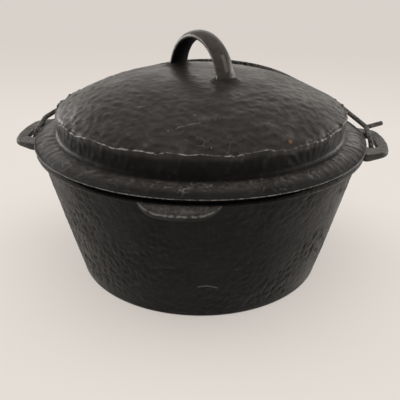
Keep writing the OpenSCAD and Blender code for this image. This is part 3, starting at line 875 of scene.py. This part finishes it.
    # Painted shade: the step and its foot are darkened, more at the front, and so are the dome round each
    # handle foot and the outer, downturned half of the flange's roll.
    foot = (zone >= 2) * (zone <= 3) * (1 - fade(z, top_z - 5, top_z - 1))
    foot = foot * (1 - fade(r, LID_RIDGE_R, LID_RIDGE_R + 4))
    painted_shade = 0.9 * foot * (0.35 + 0.65 * at_front) * (1 - np.clip(wear_and_highlight, 0, 1))
    painted_shade = painted_shade + 0.6 * (zone == 0) * np.exp(-(((near_foot - 6) / 5) ** 2))
    outer_roll = (zone == 3) * fade(roll, 0.5, 0.8) * (z > seat_z + 1)
    painted_shade = painted_shade + 0.75 * outer_roll * (1 - np.clip(1.2 * rim_edge, 0, 1))
    scuff = 0.4 * on_flange + 0.15 * on_dome * outward
    return skin("lid_casting", grid, {"wear_and_highlight": wear_and_highlight, "painted_shade": painted_shade, "scuff": scuff})


LID_IRON = seasoned_iron(
    "lid iron", dark=(0.0145, 0.0122, 0.0110, 1), thin=(0.0255, 0.0215, 0.0193, 1),
    bare=(0.27, 0.265, 0.255, 1), roughness=0.38, grain=0.45, depth_mm=0.22, pits=0.7, specks=1.0, shine=0.4,
    marks=LID_MARKS,
)
dress(make_lid(), LID_IRON, "lid", "lid_shell")


# The lid's handle is a flat iron strap arched over the middle of the dome and cast on with
# it. It is rounder outside than inside, rises from two low mounds, and years of hands have
# rubbed it smooth. Its edges are lighter, partly worn metal and partly painted highlight, its
# right leg carries painted highlight streaks, and its inner face is painted shade.

HANDLE_SINK = 7.5
HANDLE_W = 16.0
HANDLE_OUT = 4.6
HANDLE_IN = 3.2
HANDLE_STEM = 6.0
HANDLE_STEM_STATIONS = 11
HANDLE_ARC_STATIONS = 120
# Painted highlight: light streaks down the right leg where light falls on it.
PAINTED_LEG_HIGHLIGHT = (0.115, 0.102, 0.091, 1)
HANDLE_HIGHLIGHT_MARKS = (
    (PAINTED_LEG_HIGHLIGHT, 2.0, [(21.3, -29.0, 169.2), (18.0, -24.7, 178.6)]),
    (PAINTED_LEG_HIGHLIGHT, 1.5, [(10.3, -25.5, 176.9), (6.2, -20.3, 183.0)]),
    (PAINTED_LEG_HIGHLIGHT, 1.0, [(25.9, -28.3, 161.4), (25.5, -27.7, 164.7)]),
)


def make_lid_handle():
    """Half ring on two short stems, with a section of two half ellipses: deep * cos s by
    width / 2 * sin s. Near each foot it widens by a small fillet, e^(-h / 0.9), h being the
    height over the mound. All of it is turned about the lid's axis."""
    ridge_z = box_mm("pot")[1][2] + LID_RIDGE_H
    arch_z = ridge_z + LID_DOME_H - HANDLE_SINK
    arc = np.linspace(0, math.pi, HANDLE_ARC_STATIONS)
    stem = np.linspace(HANDLE_STEM, 0, HANDLE_STEM_STATIONS + 1)[:-1]
    out_x = np.pad(np.cos(arc), HANDLE_STEM_STATIONS, mode="edge")
    out_z = np.pad(np.sin(arc), HANDLE_STEM_STATIONS)
    along = LID_FOOT_PLACE * out_x
    height = arch_z + np.concatenate([-stem, LID_FOOT_PLACE * np.sin(arc), -stem[::-1]])
    over_mound = np.maximum(height - dome_z(LID_FOOT_PLACE, ridge_z) - LID_FOOT_H, 0)
    flare = np.exp(-over_mound / 0.9)
    waist = 1 - 0.05 * np.sin(np.linspace(0, math.pi, len(along))) ** 2
    s = np.linspace(0, 2 * math.pi, 48, endpoint=False)[None]
    deep = np.where(np.cos(s) > 0, HANDLE_OUT, HANDLE_IN)
    thick = deep * np.sign(np.cos(s)) * np.abs(np.cos(s)) ** 0.95 * (waist + 0.14 * flare)[:, None]
    wide = HANDLE_W / 2 * np.sin(s) * (waist + 0.08 * flare)[:, None]
    dents = 0.10 * noise(s * 3, along[:, None] / 5 + height[:, None] / 5, 32, seed=91)
    thick = thick + dents * np.sign(thick)
    flat_x = along[:, None] + out_x[:, None] * thick
    flat_z = height[:, None] + out_z[:, None] * thick
    cos_t, sin_t = math.cos(LID_FOOT_TURN), math.sin(LID_FOOT_TURN)
    grid = np.stack([flat_x * cos_t - wide * sin_t, flat_x * sin_t + wide * cos_t, flat_z], -1)
    first, last = (np.repeat(end.mean(1, keepdims=True), s.size, 1) for end in (grid[:1], grid[-1:]))
    grid = np.swapaxes(np.concatenate([first, grid, last]), 0, 1)
    # The strap's edges are lightened, partly worn metal and partly painted highlight; its inner face gets
    # painted shade.
    wear_and_sheen = 0.12 + 0.45 * np.abs(np.sin(s)) ** 6
    inside = fade(-np.cos(s), 0.0, 0.35)
    return skin("lid_handle_strap", grid, {"wear_and_highlight": wear_and_sheen.T, "painted_shade": inside.T})


HANDLE_IRON = seasoned_iron(
    "handle iron", dark=(0.026, 0.0222, 0.0195, 1), thin=(0.052, 0.0445, 0.039, 1),
    bare=(0.12, 0.106, 0.094, 1), roughness=0.34, grain=0.4, depth_mm=0.14, pits=0.6, specks=0.4, shine=0.4,
    marks=HANDLE_HIGHLIGHT_MARKS,
)
dress(make_lid_handle(), HANDLE_IRON, "lid", "lid_handle")


# The bail is a single length of 4 mm steel wire, bent by hand and hooked under both ears. A
# short turned-out end stands at the right ear. Its skin is dark scale, scraped grey where it
# rubs.

WIRE_SCALE = (0.010, 0.0090, 0.0083, 1)
WIRE_THIN_SCALE = (0.045, 0.036, 0.030, 1)
WIRE_RUST_SPECK = (0.2, 0.15, 0.11, 1)
WIRE_BARE = (0.26, 0.25, 0.24, 1)


def scaled_wire():
    """Material of dark steel wire, with thinner scale in clouds and bare grey scrapes."""
    material, tree, shader, place = new_material("bail wire")
    coat = place_group(
        tree, SEASONING, Vector=place, Dark=WIRE_SCALE, Thin=WIRE_THIN_SCALE, Speck=WIRE_RUST_SPECK,
        Specks=0.8,
    )
    wear_and_highlight = place_group(
        tree, EDGE_WEAR, Vector=place, Color=coat.outputs["Color"], Bare=WIRE_BARE, Amount=0.55,
    )
    skin_grain = place_group(tree, GRAIN, Vector=place, Grain=0.8, Pits=0.8)
    tree.links.new(wear_and_highlight.outputs["Color"], shader.inputs["Base Color"])
    shader.inputs["Metallic"].default_value = 0.55
    gloss = add_range(tree, wear_and_highlight.outputs["Mask"], 0.0, 0.5, 0.52, 0.36)
    tree.links.new(gloss, shader.inputs["Roughness"])
    add_bump(tree, skin_grain.outputs["Height"], 0.18, shader)
    return material


bail_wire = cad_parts["bail"]
bail_wire.data.materials.clear()
bail_wire.data.materials.append(scaled_wire())


# The table is a plain pale surface under soft studio light: even surroundings, a broad lamp
# above the pot, a wide one behind it and a low one at each side. Far away the floor takes on
# the backdrop's colour, so that no edge shows between them.

FLOOR_RINGS = (0.0, 300.0, 1000.0, 4000.0)
FLOOR_COLUMNS = 64
FLOOR_DROP = 0.02
FLOOR_NEAR = (0.93, 0.90, 0.85, 1)
FLOOR_FAR = (0.66, 0.605, 0.565, 1)
FLOOR_SHARE = 0.65
ROOM_LIGHT = (0.45, 0.435, 0.425, 1)
ROOM_MIRRORED = (0.07, 0.066, 0.063, 1)
ROOM_OVERHEAD = (0.50, 0.47, 0.445, 1)
ROOM_SEEN = (0.69, 0.642, 0.597, 1)
LAMP_AIM = (0, 0, 0.1)
LAMP_COLOUR = (1, 0.97, 0.94)
LAMPS = (
    ("lamp above", (0.0, -0.2, 2.4), (3.0, 3.0), 42, False),
    ("lamp behind", (0.0, 2.3, 0.9), (4.5, 1.7), 8, True),
    ("lamp left", (-1.65, 0.7, 0.45), (1.5, 0.8), 17, True),
    ("lamp right", (1.65, 0.7, 0.45), (1.5, 0.8), 16, True),
)
CAMERA_DISTANCE = 459.4
CAMERA_HEIGHT = 262.7
CAMERA_PITCH = 0.435
CAMERA_ROLL = 0.007
CAMERA_FOCAL_PX = 579
PHOTO_PX = 400
OBJECT_TURN = -0.077


def table_top():
    """Material of the table: painted paler near the pot than far away, as painted light that
    lifts the shade the pot casts round itself. What the camera or a mirror sees of it is mixed
    with the backdrop's colour, more and more towards the distance."""
    material, tree, shader, place = new_material("table top")
    distance = tree.nodes.new("ShaderNodeVectorMath")
    distance.operation = "LENGTH"
    tree.links.new(place, distance.inputs[0])
    clouds = add_math(tree, "MULTIPLY", add_noise(tree, place, 240, 3), 0.12)
    far = add_range(tree, add_math(tree, "ADD", distance.outputs["Value"], clouds), 0.15, 1.1)
    tree.links.new(add_mix(tree, far, FLOOR_NEAR, FLOOR_FAR), shader.inputs["Base Color"])
    shader.inputs["Roughness"].default_value = 0.6
    shader.inputs["Specular IOR Level"].default_value = 0.25
    glow = tree.nodes.new("ShaderNodeEmission")
    glow.inputs["Color"].default_value = ROOM_SEEN
    paths = tree.nodes.new("ShaderNodeLightPath")
    share = tree.nodes.new("ShaderNodeMixShader")
    seen = add_math(tree, "MAXIMUM", paths.outputs["Is Camera Ray"], paths.outputs["Is Transmission Ray"])
    seen = add_math(tree, "MAXIMUM", seen, paths.outputs["Is Glossy Ray"])
    even = add_range(tree, distance.outputs["Value"], 0.45, 1.3, FLOOR_SHARE, 1.0)
    tree.links.new(add_math(tree, "MULTIPLY", seen, even), share.inputs["Fac"])
    tree.links.new(shader.outputs["BSDF"], share.inputs[1])
    tree.links.new(glow.outputs["Emission"], share.inputs[2])
    tree.links.new(share.outputs["Shader"], tree.nodes["Material Output"].inputs["Surface"])
    return material


def make_floor():
    """Disc a hair under the plane z = 0, as rings of points with quads between them."""
    ring_r = np.array(FLOOR_RINGS)
    points = spin(ring_r, np.full(len(ring_r), -FLOOR_DROP), FLOOR_COLUMNS).reshape(-1, 3) / 1000
    index = np.arange(len(points)).reshape(FLOOR_COLUMNS, -1)
    index = np.vstack([index, index[:1]])
    quads = np.stack([index[:-1, :-1], index[:-1, 1:], index[1:, 1:], index[1:, :-1]], -1).reshape(-1, 4)
    mesh = bpy.data.meshes.new("table")
    mesh.from_pydata(points.tolist(), [], quads.tolist())
    mesh.materials.append(table_top())
    floor = bpy.data.objects.new("table", mesh)
    bpy.context.scene.collection.objects.link(floor)
    return floor


def add_lamp(name, place, size, power, mirrored):
    """Area lamp at a place, turned to LAMP_AIM. Gloss shows it only where mirrored is set."""
    data = bpy.data.lights.new(name, "AREA")
    data.shape = "RECTANGLE"
    data.size, data.size_y = size
    data.energy = power
    data.color = LAMP_COLOUR
    lamp = bpy.data.objects.new(name, data)
    lamp.visible_camera = False
    lamp.visible_glossy = mirrored
    bpy.context.scene.collection.objects.link(lamp)
    back = np.array(place) - np.array(LAMP_AIM)
    back /= np.linalg.norm(back)
    right = np.cross((0, 0, 1), back)
    right /= np.linalg.norm(right)
    turned = Matrix(np.column_stack([right, np.cross(back, right), back]).tolist()).to_4x4()
    turned.translation = place
    lamp.matrix_world = turned


def make_world():
    """Surroundings: one even colour lights the room, and a pale backdrop is what the camera
    sees. Glossy surfaces mirror that backdrop on its side, a soft brightness overhead and the
    dim room elsewhere."""
    world = bpy.data.worlds.new("room")
    bpy.context.scene.world = world
    world.use_nodes = True
    tree = world.node_tree
    background = tree.nodes["Background"]
    paths = tree.nodes.new("ShaderNodeLightPath")
    seen = add_math(tree, "MAXIMUM", paths.outputs["Is Camera Ray"], paths.outputs["Is Transmission Ray"])
    towards = tree.nodes.new("ShaderNodeSeparateXYZ")
    tree.links.new(tree.nodes.new("ShaderNodeTexCoord").outputs["Object"], towards.inputs[0])
    overhead = add_range(tree, towards.outputs["Z"], 0.3, 0.95)
    overhead = add_math(tree, "MULTIPLY", overhead, add_range(tree, towards.outputs["Y"], -0.2, 0.25))
    mirrored = add_mix(tree, overhead, ROOM_MIRRORED, ROOM_OVERHEAD)
    backdrop = add_range(tree, towards.outputs["Y"], 0.6, 1.0)
    mirrored = add_mix(tree, backdrop, mirrored, ROOM_SEEN)
    colour = add_mix(tree, paths.outputs["Is Glossy Ray"], ROOM_LIGHT, mirrored)
    colour = add_mix(tree, seen, colour, ROOM_SEEN)
    tree.links.new(colour, background.inputs["Color"])
    background.inputs["Strength"].default_value = 1.0
    world.cycles.sampling_method = "NONE"


def make_camera():
    """Camera at the photo's viewing angle: a fitted distance, height, pitch and roll, with
    the object turned a little against it."""
    data = bpy.data.cameras.new("camera")
    data.sensor_width = 36
    data.lens = CAMERA_FOCAL_PX / PHOTO_PX * data.sensor_width
    data.clip_start, data.clip_end = 0.01, 50
    camera = bpy.data.objects.new("camera", data)
    bpy.context.scene.collection.objects.link(camera)
    forward = np.array([0, math.cos(CAMERA_PITCH), -math.sin(CAMERA_PITCH)])
    right = np.array([1.0, 0, 0])
    up = np.cross(right, forward)
    cos_r, sin_r = math.cos(CAMERA_ROLL), math.sin(CAMERA_ROLL)
    right, up = cos_r * right + sin_r * up, -sin_r * right + cos_r * up
    axes = Matrix(np.column_stack([right, up, -forward]).tolist()).to_4x4()
    axes.translation = (0, -CAMERA_DISTANCE / 1000, CAMERA_HEIGHT / 1000)
    camera.matrix_world = Matrix.Rotation(-OBJECT_TURN, 4, "Z") @ axes
    bpy.context.scene.camera = camera


make_floor()
for lamp in LAMPS:
    add_lamp(*lamp)
make_world()
make_camera()
bpy.context.scene.view_settings.view_transform = "Standard"
